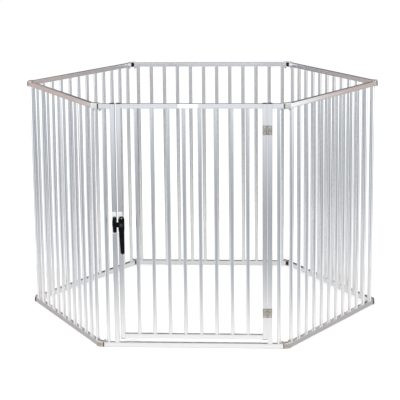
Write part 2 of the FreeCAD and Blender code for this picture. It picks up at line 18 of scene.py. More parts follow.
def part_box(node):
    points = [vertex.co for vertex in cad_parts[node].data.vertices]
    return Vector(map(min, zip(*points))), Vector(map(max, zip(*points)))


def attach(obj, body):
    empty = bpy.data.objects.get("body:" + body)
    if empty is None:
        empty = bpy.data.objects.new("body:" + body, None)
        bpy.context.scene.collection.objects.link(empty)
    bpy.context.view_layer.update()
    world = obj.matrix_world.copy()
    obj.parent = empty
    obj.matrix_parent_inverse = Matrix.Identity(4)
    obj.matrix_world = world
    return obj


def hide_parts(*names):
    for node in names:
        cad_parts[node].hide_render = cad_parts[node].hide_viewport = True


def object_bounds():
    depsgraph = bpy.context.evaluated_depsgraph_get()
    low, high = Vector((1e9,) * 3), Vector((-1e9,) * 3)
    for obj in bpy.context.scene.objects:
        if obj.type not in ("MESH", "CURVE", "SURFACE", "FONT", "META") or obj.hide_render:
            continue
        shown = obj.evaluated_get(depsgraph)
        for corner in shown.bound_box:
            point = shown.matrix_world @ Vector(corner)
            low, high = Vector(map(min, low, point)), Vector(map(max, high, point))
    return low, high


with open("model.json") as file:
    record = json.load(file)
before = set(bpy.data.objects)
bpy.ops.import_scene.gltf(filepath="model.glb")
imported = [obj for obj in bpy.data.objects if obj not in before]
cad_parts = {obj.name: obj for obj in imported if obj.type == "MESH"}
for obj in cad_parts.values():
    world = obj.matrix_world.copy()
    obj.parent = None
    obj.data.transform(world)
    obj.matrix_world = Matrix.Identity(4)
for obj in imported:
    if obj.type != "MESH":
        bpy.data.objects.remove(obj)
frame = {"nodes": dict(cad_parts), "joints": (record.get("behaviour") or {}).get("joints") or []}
cad_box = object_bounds()

MM = 0.001
PANELS = ("front", "right_front", "right_back", "back", "left_back", "left_front")
CORNERS = ("front_right", "right", "back_right", "back_left", "left", "front_left")
SIDE_TURN = 60          # degrees from one side of the hexagon to the next
PANEL_TURNS = {name: SIDE_TURN * index for index, name in enumerate(PANELS)}
CORNER_TURNS = {name: SIDE_TURN * (index + 0.5) for index, name in enumerate(CORNERS)}
BARS_PER_PANEL = 12
DOOR_BARS = 8

# ---------------------------------------------------------------- places, from the frame
front_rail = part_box("front_bottom_rail")
back_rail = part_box("back_bottom_rail")
FRONT_Y = (front_rail[0].y + front_rail[1].y) / 2
BACK_Y = (back_rail[0].y + back_rail[1].y) / 2
RING_MIDDLE = Vector((0, (FRONT_Y + BACK_Y) / 2, 0))
APOTHEM = (BACK_Y - FRONT_Y) / 2
JOINT_PLACES = {joint["name"]: Vector(joint["pos_m"]) for joint in frame["joints"]}
FIRST_BOLT = JOINT_PLACES["front_right_fold"]
SECOND_BOLT = JOINT_PLACES["front_right_outer_fold"]
LINK_RADIUS = ((FIRST_BOLT + SECOND_BOLT) / 2 - RING_MIDDLE).xy.length
BOLT_SPACING = (SECOND_BOLT - FIRST_BOLT).length
BOLT_PLACE = FIRST_BOLT.x
TOTAL_HEIGHT = cad_box[1].z


def panel_frame(turn):
    """Return the matrix of the panel that stands at a turn, in degrees, from the front."""
    spin = Matrix.Rotation(math.radians(turn), 4, "Z")
    return Matrix.Translation(RING_MIDDLE) @ spin @ Matrix.Translation((0, -APOTHEM, 0))


def corner_frame(turn):
    """Return the matrix of the corner link that stands at a turn, in degrees, from the front."""
    spin = Matrix.Rotation(math.radians(turn), 4, "Z")
    return Matrix.Translation(RING_MIDDLE) @ spin @ Matrix.Translation((0, -LINK_RADIUS, 0))


FRONT = panel_frame(0)


def front_box(node):
    """Return the lowest and highest corners of a front node, in the front panel's frame."""
    low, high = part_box(node)
    shift = FRONT.inverted()
    return shift @ low, shift @ high


RAIL_LOW, RAIL_HIGH = front_box("front_bottom_rail")
TUBE_SIDE = RAIL_HIGH.z - RAIL_LOW.z
HALF_TUBE = TUBE_SIDE / 2
TUBE_WALL = 1.5 * MM
TUBE_CORNER = 1.5 * MM
BARS_LOW, BARS_HIGH = front_box("front_fixed_bars")
BAR_RADIUS = (BARS_HIGH.y - BARS_LOW.y) / 2
BAR_WALL = 1 * MM
OUTER_BAR = BARS_HIGH.x - BAR_RADIUS
BAR_PITCH = 2 * OUTER_BAR / (BARS_PER_PANEL - 1)
FACE = -HALF_TUBE       # the front face of every tube, in the panel's frame


# ---------------------------------------------------------------- mesh helpers
def to_mesh(shape, name="Piece"):
    """Turn a bmesh into a mesh with its faces pointing outward."""
    bmesh.ops.recalc_face_normals(shape, faces=shape.faces)
    mesh = bpy.data.meshes.new(name)
    shape.to_mesh(mesh)
    shape.free()
    return mesh


def skin(rings, closed=False):
    """Skin a closed surface over rings of points; a ring of one point is a pole."""
    shape = bmesh.new()
    loops = [[shape.verts.new(point) for point in ring] for ring in rings]
    pairs = list(zip(loops, loops[1:]))
    if closed:
        pairs.append((loops[-1], loops[0]))
    for first, second in pairs:
        count = max(len(first), len(second))
        for index in range(count):
            after = (index + 1) % count
            corners = [first[index % len(first)], first[after % len(first)],
                       second[after % len(second)], second[index % len(second)]]
            shape.faces.new(dict.fromkeys(corners))
    if not closed:
        for loop in (loops[0], loops[-1]):
            if len(loop) > 1:
                shape.faces.new(loop)
    return to_mesh(shape)


def joined(parts):
    """Join meshes, each moved by its matrix, into one new mesh."""
    whole = bmesh.new()
    for mesh, place in parts:
        copy = mesh.copy()
        copy.transform(place)
        if place.is_negative:
            copy.flip_normals()
        whole.from_mesh(copy)
        bpy.data.meshes.remove(copy)
    result = bpy.data.meshes.new("Joined")
    whole.to_mesh(result)
    whole.free()
    return result


def shaped(mesh, *modifiers):
    """Run modifiers over a mesh, each given as its kind and its settings, and return the result."""
    thing = bpy.data.objects.new("Shaping", mesh)
    bpy.context.scene.collection.objects.link(thing)
    for kind, settings in modifiers:
        modifier = thing.modifiers.new(kind.title(), kind)
        for name, value in settings.items():
            setattr(modifier, name, value)
    view = bpy.context.evaluated_depsgraph_get()
    result = bpy.data.meshes.new_from_object(thing.evaluated_get(view))
    bpy.data.objects.remove(thing)
    return result


def cut(mesh, cutters):
    """Take closed meshes, each moved by its matrix, away from a mesh."""
    tool = bpy.data.objects.new("Cutter", joined(cutters))
    bpy.context.scene.collection.objects.link(tool)
    result = shaped(mesh, ("BOOLEAN", {"object": tool, "operation": "DIFFERENCE", "solver": "EXACT"}))
    bpy.data.objects.remove(tool)
    return result


def softened(mesh, width, steps=2, angle=35):
    """Round every sharp edge of a mesh."""
    settings = {"width": width, "segments": steps, "limit_method": "ANGLE",
                "angle_limit": math.radians(angle)}
    return shaped(mesh, ("BEVEL", settings))


def turned(outline, segments=48, closed=False):
    """Turn an outline of (radius, height) pairs about +Z; either may be a function of the angle."""
    rings = []
    for radius, height in outline:
        if radius == 0:
            rings.append([(0, 0, height)])
            continue
        ring = []
        for step in range(segments):
            angle = math.tau * step / segments
            reach = radius(angle) if callable(radius) else radius
            level = height(angle) if callable(height) else height
            ring.append((reach * math.cos(angle), reach * math.sin(angle), level))
        rings.append(ring)
    return skin(rings, closed)


def rounded_rectangle(width, height, corner, steps=6):
    """Return the points of a rectangle with round corners about the origin."""
    points = []
    for quarter in range(4):
        across = 1 if quarter in (0, 3) else -1
        upward = 1 if quarter in (0, 1) else -1
        for step in range(steps + 1):
            angle = math.radians(90) * (quarter + step / steps)
            points.append((across * (width / 2 - corner) + corner * math.cos(angle),
                           upward * (height / 2 - corner) + corner * math.sin(angle)))
    return points


def plate(middle, width, height, corner, back, front, edge, edge_steps=3):
    """Make an upright plate in the panel's frame, its edges rounded, from y = back to y = front."""
    sense = 1 if front > back else -1
    depths = []
    for step in range(edge_steps + 1):
        angle = math.radians(90) * step / edge_steps
        depths.append((edge * (1 - math.sin(angle)), edge * (1 - math.cos(angle))))
    levels = [(inset, back + sense * deep) for inset, deep in depths]
    levels += [(inset, front - sense * deep) for inset, deep in reversed(depths)]
    rings = []
    for inset, y in levels:
        outline = rounded_rectangle(width - 2 * inset, height - 2 * inset, max(corner - inset, 0.1 * MM))
        rings.append([(middle[0] + x, y, middle[1] + z) for x, z in outline])
    return skin(rings)


def block(low, high, edge, steps=3):
    """Make a block between two corners with rounded edges."""
    shape = bmesh.new()
    bmesh.ops.create_cube(shape, size=1)
    low, high = Vector(low), Vector(high)
    for vertex in shape.verts:
        vertex.co = Vector(low[k] + (vertex.co[k] + 0.5) * (high[k] - low[k]) for k in range(3))
    bmesh.ops.bevel(shape, geom=shape.edges[:], offset=edge, segments=steps, profile=0.5, affect="EDGES")
    return to_mesh(shape)


LEVEL = Matrix.Rotation(math.radians(90), 4, "Y")       # turns +Z towards +X
OUTWARD = Matrix.Rotation(math.radians(90), 4, "X")     # turns +Z towards -Y
STAY = Matrix.Identity(4)


def at(x=0, y=0, z=0):
    """Return the matrix that moves a shape."""
    return Matrix.Translation((x, y, z))


# ---------------------------------------------------------------- materials
def new_material(name):
    """Make an empty node material and return it with a function that adds nodes to it."""
    material = bpy.data.materials.new(name)
    material.use_nodes = True
    tree = material.node_tree
    tree.nodes.clear()

    def add(kind, **values):
        node = tree.nodes.new(kind)
        for key, value in values.items():
            if hasattr(node, key):
                setattr(node, key, value)
            else:
                node.inputs[key.replace("_", " ")].default_value = value
        return node
    return material, add, tree.links.new


def noise(add, link, stretch, detail=3.0, scale=1.0):
    """Add a noise that runs in the piece's own coordinates, stretched along each axis."""
    place = add("ShaderNodeTexCoord")
    mapping = add("ShaderNodeMapping", Scale=stretch)
    texture = add("ShaderNodeTexNoise", Scale=scale, Detail=detail)
    link(place.outputs["Object"], mapping.inputs["Vector"])
    link(mapping.outputs["Vector"], texture.inputs["Vector"])
    return texture.outputs["Fac"]


def spread(add, link, source, low, high, start=0.3, end=0.7):
    """Map a noise to a range of values."""
    node = add("ShaderNodeMapRange", From_Min=start, From_Max=end, To_Min=low, To_Max=high)
    link(source, node.inputs["Value"])
    return node.outputs["Result"]


def finish_surface(name, dark, light, grain, patches, gloss, bump, bump_depth, **shader_values):
    """Make a material: a colour between dark and light, roughness between two values, and fine relief.

    grain and patches are the stretches of the fine and the broad noise, in cycles per metre."""
    material, add, link = new_material(name)
    shader = add("ShaderNodeBsdfPrincipled")
    for key, value in shader_values.items():
        shader.inputs[key.replace("_", " ")].default_value = value
    output = add("ShaderNodeOutputMaterial")
    link(shader.outputs["BSDF"], output.inputs["Surface"])
    fine = noise(add, link, grain)
    broad = noise(add, link, patches, detail=4.0)
    blend = add("ShaderNodeMath", operation="MULTIPLY_ADD")
    blend.inputs[1].default_value = 0.5
    link(fine, blend.inputs[0])
    half = add("ShaderNodeMath", operation="MULTIPLY")
    half.inputs[1].default_value = 0.5
    link(broad, half.inputs[0])
    link(half.outputs["Value"], blend.inputs[2])
    colour = add("ShaderNodeMix", data_type="RGBA")
    colour.inputs["A"].default_value = (*dark, 1)
    colour.inputs["B"].default_value = (*light, 1)
    link(spread(add, link, blend.outputs["Value"], 0, 1, 0.35, 0.65), colour.inputs["Factor"])
    link(colour.outputs["Result"], shader.inputs["Base Color"])
    roughness = spread(add, link, blend.outputs["Value"], gloss[0], gloss[1], 0.35, 0.65)
    link(roughness, shader.inputs["Roughness"])
    relief = add("ShaderNodeBump", Strength=bump, Distance=bump_depth)
    link(fine, relief.inputs["Height"])
    link(relief.outputs["Normal"], shader.inputs["Normal"])
    return material


def metal(name, dark, light, grain, patches, gloss, bump=0.25, bump_depth=0.02 * MM):
    """Make a bare metal."""
    return finish_surface(name, dark, light, grain, patches, gloss, bump, bump_depth, Metallic=1.0)


ALUMINIUM_DARK, ALUMINIUM_LIGHT = (0.86, 0.87, 0.885), (0.93, 0.935, 0.945)
STEEL_DARK, STEEL_LIGHT = (0.50, 0.49, 0.48), (0.66, 0.65, 0.63)
LENGTHWISE = {
    "level": ((6, 900, 900), (3, 14, 14)),
    "upright": ((900, 900, 6), (14, 14, 3)),
}
TUBE_MATERIALS = {
    way: metal(f"tube_aluminium_{way}", ALUMINIUM_DARK, ALUMINIUM_LIGHT, grain, patches, (0.13, 0.22))
    for way, (grain, patches) in LENGTHWISE.items()
}
BAR_MATERIAL = metal("bar_aluminium", (0.88, 0.89, 0.90), (0.95, 0.955, 0.96),
                     (700, 700, 5), (12, 12, 4), (0.10, 0.18))
BRACKET_MATERIAL = metal("bracket_aluminium", (0.68, 0.64, 0.60), (0.79, 0.75, 0.70),
                         (60, 60, 900), (40, 40, 40), (0.24, 0.38))
LIGHT_PLATE_MATERIAL = metal("plate_aluminium", (0.88, 0.89, 0.90), (0.96, 0.965, 0.97),
                             (900, 900, 40), (60, 60, 60), (0.52, 0.64))
HINGE_MATERIAL = metal("hinge_steel", (0.40, 0.38, 0.34), (0.58, 0.55, 0.50),
                       (40, 900, 900), (120, 120, 120), (0.22, 0.36))
ZINC_MATERIAL = metal("bolt_zinc", (0.44, 0.42, 0.40), (0.66, 0.64, 0.60),
                      (800, 800, 800), (150, 150, 150), (0.22, 0.40))
SCREW_MATERIAL = metal("screw_steel", STEEL_DARK, STEEL_LIGHT, (900, 900, 900), (300, 300, 300), (0.18, 0.30))
BRIGHT_MATERIAL = metal("bright_steel", (0.80, 0.80, 0.81), (0.90, 0.90, 0.91),
                        (900, 900, 900), (200, 200, 200), (0.05, 0.11), bump=0.05)
CAP_MATERIAL = metal("dark_polished_steel", (0.06, 0.06, 0.064), (0.11, 0.11, 0.115),
                     (900, 900, 900), (200, 200, 200), (0.08, 0.16), bump=0.05)
PLASTIC_MATERIAL = finish_surface("black_plastic", (0.003, 0.003, 0.0034), (0.009, 0.009, 0.0096),
                                  (2200, 2200, 2200), (60, 60, 60), (0.42, 0.58), 0.5, 0.05 * MM,
                                  Specular_IOR_Level=0.1)
LACQUER_MATERIAL = finish_surface("black_lacquer", (0.0008, 0.0008, 0.001), (0.0024, 0.0024, 0.0028),
                                  (420, 420, 420), (70, 70, 70), (0.16, 0.28), 0.25, 0.04 * MM,
                                  Specular_IOR_Level=0.14)
LABEL_MATERIAL = finish_surface("blank_label", (0.72, 0.72, 0.74), (0.82, 0.82, 0.835),
                                (900, 900, 900), (50, 50, 50), (0.42, 0.55), 0.2, 0.03 * MM)


def piece(name, mesh, place, material, slot, body, *nodes, crease=32):
    """Show a mesh as a piece that rides on a body, in place of CAD nodes."""
    mesh = mesh.copy()
    mesh.name = name
    mesh.shade_smooth()
    mesh.set_sharp_from_angle(angle=math.radians(crease))
    mesh.materials.clear()
    mesh.materials.append(material)
    thing = bpy.data.objects.new(name, mesh)
    bpy.context.scene.collection.objects.link(thing)
    thing.matrix_world = place
    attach(thing, body)
    if nodes:
        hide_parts(*nodes)
    return thing


# ---------------------------------------------------------------- square tubes
GROOVE_PLACE = 4.6 * MM
GROOVE_WIDTH = 2.4 * MM
GROOVE_DEPTH = 0.8 * MM
END_CHAMFER = 0.3 * MM
BOLT_BORE = 3.075 * MM


def tube_outline(arc_steps=4):
    """Return the outline of a square tube with round corners and two grooves in its front and back."""
    points = []
    flat = HALF_TUBE - TUBE_CORNER
    for face in range(4):
        side = []
        if face % 2 == 0:
            for middle in (-GROOVE_PLACE, GROOVE_PLACE):
                for offset, depth in ((-0.5, 0), (-0.3, 1), (0.3, 1), (0.5, 0)):
                    side.append((middle + offset * GROOVE_WIDTH, -HALF_TUBE + depth * GROOVE_DEPTH))
        for step in range(arc_steps + 1):
            angle = math.radians(-90 + 90 * step / arc_steps)
            side.append((flat + TUBE_CORNER * math.cos(angle), -flat + TUBE_CORNER * math.sin(angle)))
        turn = Matrix.Rotation(math.radians(90 * face), 2)
        points += [tuple(turn @ Vector(point)) for point in side]
    return points


def square_tube(start, end, way):
    """Make a grooved square tube about an axis, from start to end along X (level) or Z (upright)."""
    outline = tube_outline()
    bore = (HALF_TUBE - TUBE_WALL) / HALF_TUBE
    chamfer = 1 - END_CHAMFER / HALF_TUBE
    rings = []
    for size, place in ((chamfer, start), (1, start + END_CHAMFER), (1, end - END_CHAMFER), (chamfer, end),
                        (bore, end), (bore, start)):
        if way == "level":
            rings.append([(place, y * size, x * size) for x, y in outline])
        else:
            rings.append([(x * size, y * size, place) for x, y in outline])
    return skin(rings, closed=True)


def drilled(mesh, places):
    """Drill a level tube upright for its pivot bolts."""
    bore = turned([(BOLT_BORE, -TUBE_SIDE), (BOLT_BORE, TUBE_SIDE)], segments=24)
    return cut(mesh, [(bore, at(x)) for x in places])


def rails():
    """Dress every level tube: the panels' rails, the front's stub rails and the door's rails."""
    whole = drilled(square_tube(-RAIL_HIGH.x, RAIL_HIGH.x, "level"), (-BOLT_PLACE, BOLT_PLACE))
    material = TUBE_MATERIALS["level"]
    for name, turn in PANEL_TURNS.items():
        for row in ("bottom", "top"):
            node = f"{name}_{row}_rail"
            if node not in frame["nodes"]:
                continue
            low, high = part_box(node)
            place = panel_frame(turn) @ at(z=(low.z + high.z) / 2)
            piece(f"{node}_extrusion", whole, place, material, "tube_aluminium", f"{name}_panel", node)
    for side, bolt in (("left", -BOLT_PLACE), ("right", BOLT_PLACE)):
        node = f"front_{side}_stub_rail"
        low, high = front_box(node)
        stub = drilled(square_tube(low.x, high.x, "level"), (bolt,))
        place = FRONT @ at(z=(low.z + high.z) / 2)
        piece(f"{node}_extrusion", stub, place, material, "tube_aluminium", "front_panel", node)
    for node in ("door_top_rail", "door_bottom_rail"):
        low, high = front_box(node)
        place = FRONT @ at(z=(low.z + high.z) / 2)
        piece(f"{node}_extrusion", square_tube(low.x, high.x, "level"), place, material,
              "tube_aluminium", "front_door", node)


def uprights():
    """Dress the posts beside the door and the door's stiles."""
    bodies = {"latch_post": "front_panel", "hinge_post": "front_panel",
              "door_latch_stile": "front_door", "door_hinge_stile": "front_door"}
    for node, body in bodies.items():
        low, high = front_box(node)
        tube = square_tube(low.z, high.z, "upright")
        piece(f"{node}_extrusion", tube, FRONT @ at((low.x + high.x) / 2), TUBE_MATERIALS["upright"],
              "tube_aluminium", body, node)


# ---------------------------------------------------------------- round bars
WELD_HEIGHT = 1.8 * MM
WELD_REACH = 1.1 * MM


def round_bar(foot, top):
    """Make a round tube whose ends flare into the small weld round its foot and top."""
    steps = 4
    weld = []
    for step in range(steps + 1):
        angle = math.radians(90) * step / steps
        weld.append((WELD_REACH * (1 - math.sin(angle)), WELD_HEIGHT * (1 - math.cos(angle))))
    outline = [(BAR_RADIUS + reach, foot + rise) for reach, rise in weld]
    outline += [(BAR_RADIUS + reach, top - rise) for reach, rise in reversed(weld)]
    outline += [(BAR_RADIUS - BAR_WALL, top), (BAR_RADIUS - BAR_WALL, foot)]
    return turned(outline, segments=32, closed=True)


def bar_rows():
    """Dress the rows of bars of the five plain panels, the front panel and the door."""
    side_places = [BAR_PITCH * index - OUTER_BAR for index in range(BARS_PER_PANEL)]
    bar = round_bar(BARS_LOW.z, BARS_HIGH.z)
    row = joined([(bar, at(x)) for x in side_places])
    for name, turn in PANEL_TURNS.items():
        if name != "front":
            piece(f"{name}_bars_welded", row, panel_frame(turn), BAR_MATERIAL, "tube_aluminium",
                  f"{name}_panel", f"{name}_bars")
    outer = joined([(bar, at(x)) for x in (-OUTER_BAR, OUTER_BAR)])
    piece("front_fixed_bars_welded", outer, FRONT, BAR_MATERIAL, "tube_aluminium", "front_panel",
          "front_fixed_bars")
    low, high = front_box("door_bars")
    door_bar = round_bar(low.z, high.z)
    first = low.x + BAR_RADIUS
    door_row = joined([(door_bar, at(first + BAR_PITCH * index)) for index in range(DOOR_BARS)])
    piece("door_bars_welded", door_row, FRONT, BAR_MATERIAL, "tube_aluminium", "front_door", "door_bars")


# ---------------------------------------------------------------- plastic plugs and caps
TONGUE_HALF = 8.2 * MM
TONGUE_RIBS = 3


def tongue(depth):
    """Make the ribbed tongue of a plug or cap, from z = 0 down into the tube."""
    rings = []
    for index in range(TONGUE_RIBS):
        top, foot = -depth * index / TONGUE_RIBS, -depth * (index + 1) / TONGUE_RIBS
        narrow = TONGUE_HALF - 0.6 * MM
        shoulder = 0.6 * foot + 0.4 * top
        for size, level in ((TONGUE_HALF, top), (TONGUE_HALF, shoulder), (narrow, foot)):
            rings.append([(x, y, level) for x, y in rounded_rectangle(2 * size, 2 * size, 1 * MM, 3)])
    return skin(rings)


def stopper(thickness, depth, crown):
    """Make a plastic stopper for a tube's end: a crowned flange from z = 0 up, and a tongue."""
    rings = []
    flange = [(0.25 * MM, 0), (0, 0.25 * MM), (0, thickness - crown)]
    dome = [(0.3 * crown, thickness - 0.4 * crown), (0.9 * crown, thickness - 0.1 * crown),
            (2.2 * crown, thickness)]
    for inset, level in flange + dome:
        side = TUBE_SIDE - 2 * inset
        corner = max(TUBE_CORNER - inset / 2, 0.3 * MM)
        rings.append([(x, y, level) for x, y in rounded_rectangle(side, side, corner, 4)])
    return joined([(skin(rings), STAY), (tongue(depth), STAY)])


def plugs_and_caps():
    """Dress the plugs of the rails' ends, the caps of the posts and the caps of the stiles."""
    flange = FRONT.inverted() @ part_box("front_end_plugs")[1]
    plug = stopper(flange.x - RAIL_HIGH.x, 9.8 * MM, 0.7 * MM)
    bore = turned([(BOLT_BORE, -TUBE_SIDE), (BOLT_BORE, TUBE_SIDE)], segments=24)
    plug = cut(plug, [(bore, at(z=BOLT_PLACE - RAIL_HIGH.x) @ OUTWARD)])
    facing = {1: LEVEL, -1: Matrix.Rotation(math.radians(180), 4, "Z") @ LEVEL}
    levels = [(RAIL_LOW.z + RAIL_HIGH.z) / 2, TOTAL_HEIGHT - (RAIL_LOW.z + RAIL_HIGH.z) / 2]
    ends = [(plug, at(side * RAIL_HIGH.x, 0, level) @ facing[side]) for side in (1, -1) for level in levels]
    whole = joined(ends)
    for name, turn in PANEL_TURNS.items():
        piece(f"{name}_end_plugs_moulded", whole, panel_frame(turn), PLASTIC_MATERIAL, "black_plastic",
              f"{name}_panel", f"{name}_end_plugs")

    tops = []
    for node in ("latch_post", "hinge_post"):
        low, high = front_box(node)
        tops.append(((low.x + high.x) / 2, high.z))
    cap_height = front_box("post_caps")[1].z - tops[0][1]
    cap = stopper(cap_height, 12 * MM, 0.5 * MM)
    piece("post_caps_moulded", joined([(cap, at(x, 0, z)) for x, z in tops]), FRONT, PLASTIC_MATERIAL,
          "black_plastic", "front_panel", "post_caps")
    upside_down = Matrix.Rotation(math.radians(180), 4, "X")
    ends = []
    for node in ("door_latch_stile", "door_hinge_stile"):
        low, high = front_box(node)
        middle = (low.x + high.x) / 2
        ends += [(cap, at(middle, 0, high.z)), (cap, at(middle, 0, low.z) @ upside_down)]
    piece("door_caps_moulded", joined(ends), FRONT, PLASTIC_MATERIAL, "black_plastic", "front_door",
          "door_caps")


# ---------------------------------------------------------------- corner links
FLANGE = 2.5 * MM
WEB = 2 * MM
WEB_FACE = -16.3 * MM
WEB_HALF = 16 * MM
FLANGE_END = 6.5 * MM
BEND = 3.2 * MM
BRACKET_HEIGHT = 25.6 * MM
NUT_HALF = 5 * MM
NUT_HEIGHT = 5 * MM
BOLT_RADIUS = 3 * MM
BOLT_HEAD = 5.5 * MM
BOLT_END = 33.1 * MM


def bracket_path(outer, arc_steps=5):
    """Return the (y, z, half width) points of a bracket's outer or inner face, from flange to flange."""
    inset = 0 if outer else 1
    low, high = inset * FLANGE, BRACKET_HEIGHT - inset * FLANGE
    web = WEB_FACE + inset * WEB
    radius = BEND - inset * 0.75 * WEB
    points = []
    tip_steps = 14
    for step in range(tip_steps + 1):
        angle = math.radians(90 - 176 * step / tip_steps)
        points.append((FLANGE_END * math.sin(angle), low, BOLT_SPACING / 2 + FLANGE_END * math.cos(angle)))
    points.append((points[-1][0] - 0.6 * MM, low, WEB_HALF))
    for step in range(arc_steps + 1):
        angle = math.radians(90) * step / arc_steps
        points.append((web + radius * (1 - math.sin(angle)), low + radius * (1 - math.cos(angle)), WEB_HALF))
    return points + [(y, low + high - z, half) for y, z, half in reversed(points)]


def link_bracket():
    """Make the lower bracket of a corner: one bent sheet, drilled for two countersunk bolts."""
    outer = bracket_path(True)
    inner = bracket_path(False)
    columns = 6
    rings = []
    for column in range(columns + 1):
        across = 2 * column / columns - 1
        ring = [(across * half, y, z) for y, z, half in outer]
        ring += [(across * half, y, z) for y, z, half in reversed(inner)]
        rings.append(ring)
    shape = bmesh.new()
    loops = [[shape.verts.new(point) for point in ring] for ring in rings]
    count = len(loops[0])
    for first, second in zip(loops, loops[1:]):
        for index in range(count):
            after = (index + 1) % count
            shape.faces.new((first[index], first[after], second[after], second[index]))
    for loop in (loops[0], loops[-1]):
        for index in range(len(outer) - 1):
            shape.faces.new((loop[index], loop[index + 1], loop[count - 2 - index], loop[count - 1 - index]))
    sheet = to_mesh(shape)
    hole = turned([(5.65 * MM + FLANGE, -FLANGE), (BOLT_BORE, FLANGE), (BOLT_BORE, 2 * BRACKET_HEIGHT)], 32)
    sheet = cut(sheet, [(hole, at(x)) for x in (-BOLT_SPACING / 2, BOLT_SPACING / 2)])
    return softened(sheet, 0.3 * MM)


def hexagon(half):
    """Return the radius of a hexagon with a half width, as a function of the angle."""
    def radius(angle):
        corner = math.radians(60)
        return half / math.cos((angle % corner) - corner / 2)
    return radius


def link_nut():
    """Make a hexagon nut with chamfered corners, standing on z = 0."""
    side = hexagon(NUT_HALF)
    slope = math.tan(math.radians(30))
    face = 0.96 * NUT_HALF
    outline = [(3.1 * MM, 0.4 * MM), (3.6 * MM, 0), (face, 0),
               (side, lambda angle: (side(angle) - face) * slope),
               (side, lambda angle: NUT_HEIGHT - (side(angle) - face) * slope),
               (face, NUT_HEIGHT), (3.6 * MM, NUT_HEIGHT), (3.1 * MM, NUT_HEIGHT - 0.4 * MM)]
    return turned(outline, closed=True)


def link_bolt():
    """Make a countersunk pivot bolt with a hexagon socket in its head and a threaded tail."""
    socket = hexagon(2 * MM)
    sink = BOLT_HEAD - BOLT_RADIUS
    outline = [(0, 2.2 * MM), (socket, 1.9 * MM), (socket, 0.2 * MM), (2.7 * MM, 0),
               (BOLT_HEAD - 0.2 * MM, 0), (BOLT_HEAD, 0.15 * MM), (BOLT_RADIUS, sink)]
    thread_start = BRACKET_HEIGHT + NUT_HEIGHT
    outline.append((BOLT_RADIUS, thread_start - 0.3 * MM))
    pitch = 0.5 * MM
    turns = round((BOLT_END - thread_start - 0.4 * MM) / pitch)
    for index in range(turns):
        foot = thread_start + pitch * index
        outline += [(BOLT_RADIUS - 0.3 * MM, foot), (BOLT_RADIUS, foot + pitch / 2)]
    outline += [(BOLT_RADIUS - 0.5 * MM, BOLT_END), (0, BOLT_END)]
    return turned(outline)


def corner_links():
    """Dress the brackets and bolts of the six corners."""
    low_bracket = link_bracket()
    upside_down = at(z=TOTAL_HEIGHT) @ Matrix.Scale(-1, 4, (0, 0, 1))
    brackets = joined([(low_bracket, STAY), (low_bracket, upside_down)])
    parts = []
    bolt, nut = link_bolt(), link_nut()
    for x in (-BOLT_SPACING / 2, BOLT_SPACING / 2):
        parts += [(bolt, at(x)), (nut, at(x, 0, BRACKET_HEIGHT))]
    low_bolts = joined(parts)
    bolts = joined([(low_bolts, STAY), (low_bolts, upside_down)])
    for name, turn in CORNER_TURNS.items():
        place = corner_frame(turn)
        piece(f"{name}_link_brackets_bent", brackets, place, BRACKET_MATERIAL, "bracket_metal",
              f"{name}_link", f"{name}_link_brackets")
        piece(f"{name}_link_bolts_turned", bolts, place, ZINC_MATERIAL, "bolt_zinc",
              f"{name}_link", f"{name}_link_bolts")


# ---------------------------------------------------------------- screws
SCREW_SHANK = 1.25 * MM
SCREW_HEAD = 2.45 * MM


def screw(radius, head, depth=6 * MM):
    """Make a countersunk screw with a cross recess, its head's face at z = 0 and its shank below."""
    arm = 0.16 * head

    def recess(ring):
        def level(angle):
            quarter = math.radians(90)
            turn = (angle + quarter / 2) % quarter - quarter / 2
            return -0.35 * head if abs(ring * math.sin(turn)) < arm else -0.02 * head
        return level
    rings = [(0, -0.4 * head)] + [(size * head, recess(size * head)) for size in (0.12, 0.3, 0.45)]
    rings += [(0.6 * head, -0.01 * head), (0.9 * head, 0.0), (head, -0.05 * head), (radius, radius - head)]
    rings += [(radius, -0.8 * depth), (0.3 * radius, -depth), (0, -depth)]
    return turned(rings)


def screw_sink(reach):
    """Make the cutter of a countersunk hole, its rim at z = 0, reaching out past the face."""
    return turned([(1.3 * MM, -9 * MM), (1.3 * MM, -1.3 * MM), (2.7 * MM, 0.1 * MM), (2.7 * MM, reach)], 24)


def facing_out(x, y, z):
    """Return the matrix that stands a screw's head outward at a place of the front panel."""
    return at(x, y, z) @ OUTWARD


# ---------------------------------------------------------------- hinges
HINGE_PLACE = JOINT_PLACES["door_hinge"]
HINGE_X = HINGE_PLACE.x
HINGE_Y = HINGE_PLACE.y - FRONT_Y
HINGE_SCREW_REACH = 11 * MM
HINGE_SCREW_ROW = 24 * MM
leaf_low, leaf_high = front_box("hinge_frame_leaves")
HINGE_HEIGHT = 40 * MM
HINGE_LEVELS = (leaf_low.z + HINGE_HEIGHT / 2, leaf_high.z - HINGE_HEIGHT / 2)
LEAF = 1.5 * MM         # thickness of a hinge leaf


